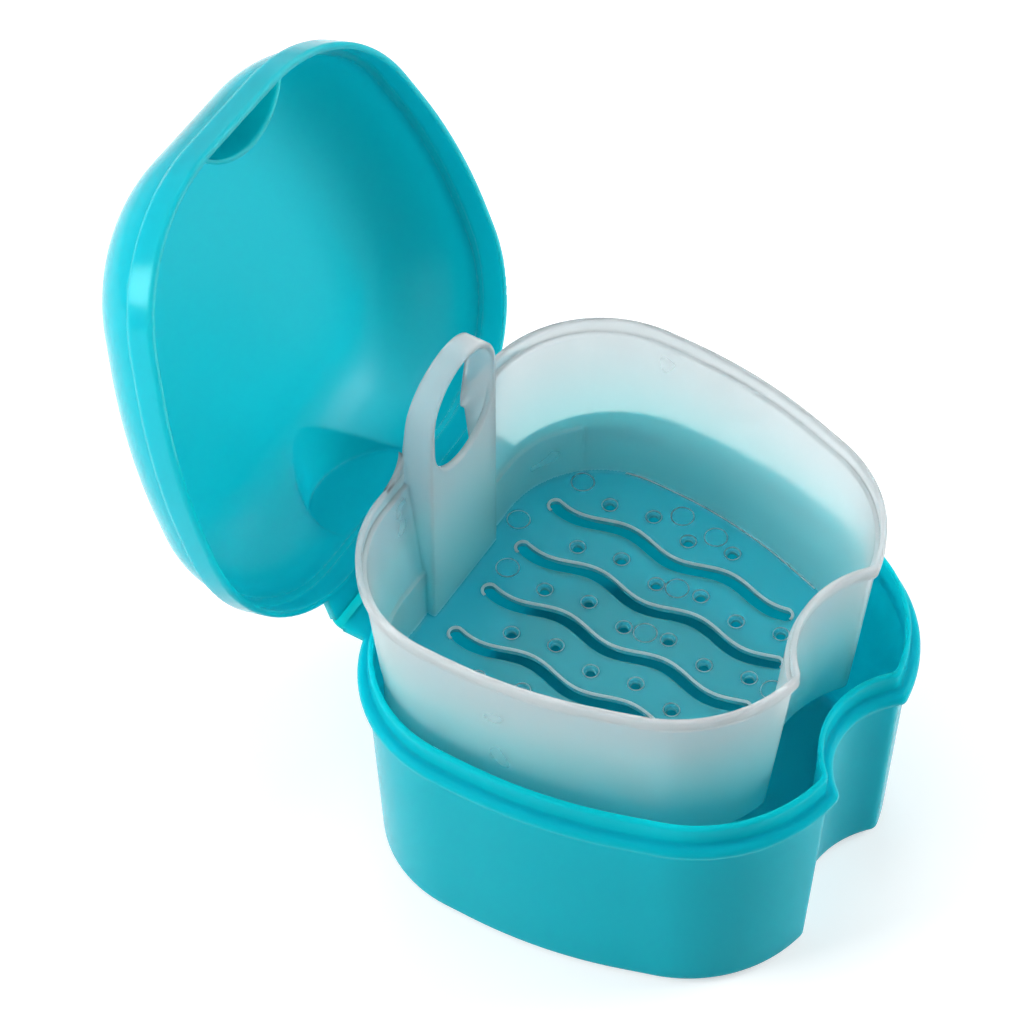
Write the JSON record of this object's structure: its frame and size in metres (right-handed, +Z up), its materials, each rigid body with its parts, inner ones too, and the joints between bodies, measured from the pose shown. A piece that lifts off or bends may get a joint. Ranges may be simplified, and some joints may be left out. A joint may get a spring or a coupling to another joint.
{
  "type": "denture case",
  "caption": "Denture case: a cup with a thumb notch, a domed lid on a living hinge, and a lift-out strainer basket with a handle.",
  "frame": {"origin": "centre of the cup's flat underside, on which the case rests: midway between its sides, and midway between the front of its plan and the basket's back edge", "axes": "+Z up, +X to the right, -Y to the front with the thumb notch, +Y to the hinge"},
  "size_m": [0.0892, 0.1361, 0.1289],
  "materials": {
    "case_plastic": "satin inside, gloss outside",
    "basket_plastic": "milky, translucent"
  },
  "bodies": {
    "cup": {"cup": "case_plastic", "hinge_web": "case_plastic"},
    "lid": {"lid": "case_plastic"},
    "basket": {"strainer_basket": "basket_plastic"}
  },
  "joints": [
    {"name": "lid_hinge", "type": "hinge", "parent": "cup", "child": "lid", "pos_m": [0, 0.04715, 0.0436], "axis": [-1, 0, 0], "range_deg": [-110.5, 15]},
    {"name": "basket_slide", "type": "slide", "parent": "cup", "child": "basket", "axis": [0, 0.1402, 0.9901], "range_m": [-0.03355, 0.00457]}
  ],
  "couplings": [
    {"joint": "basket_slide", "follows": "lid_hinge", "m_per_rad": 0.017386}
  ]
}
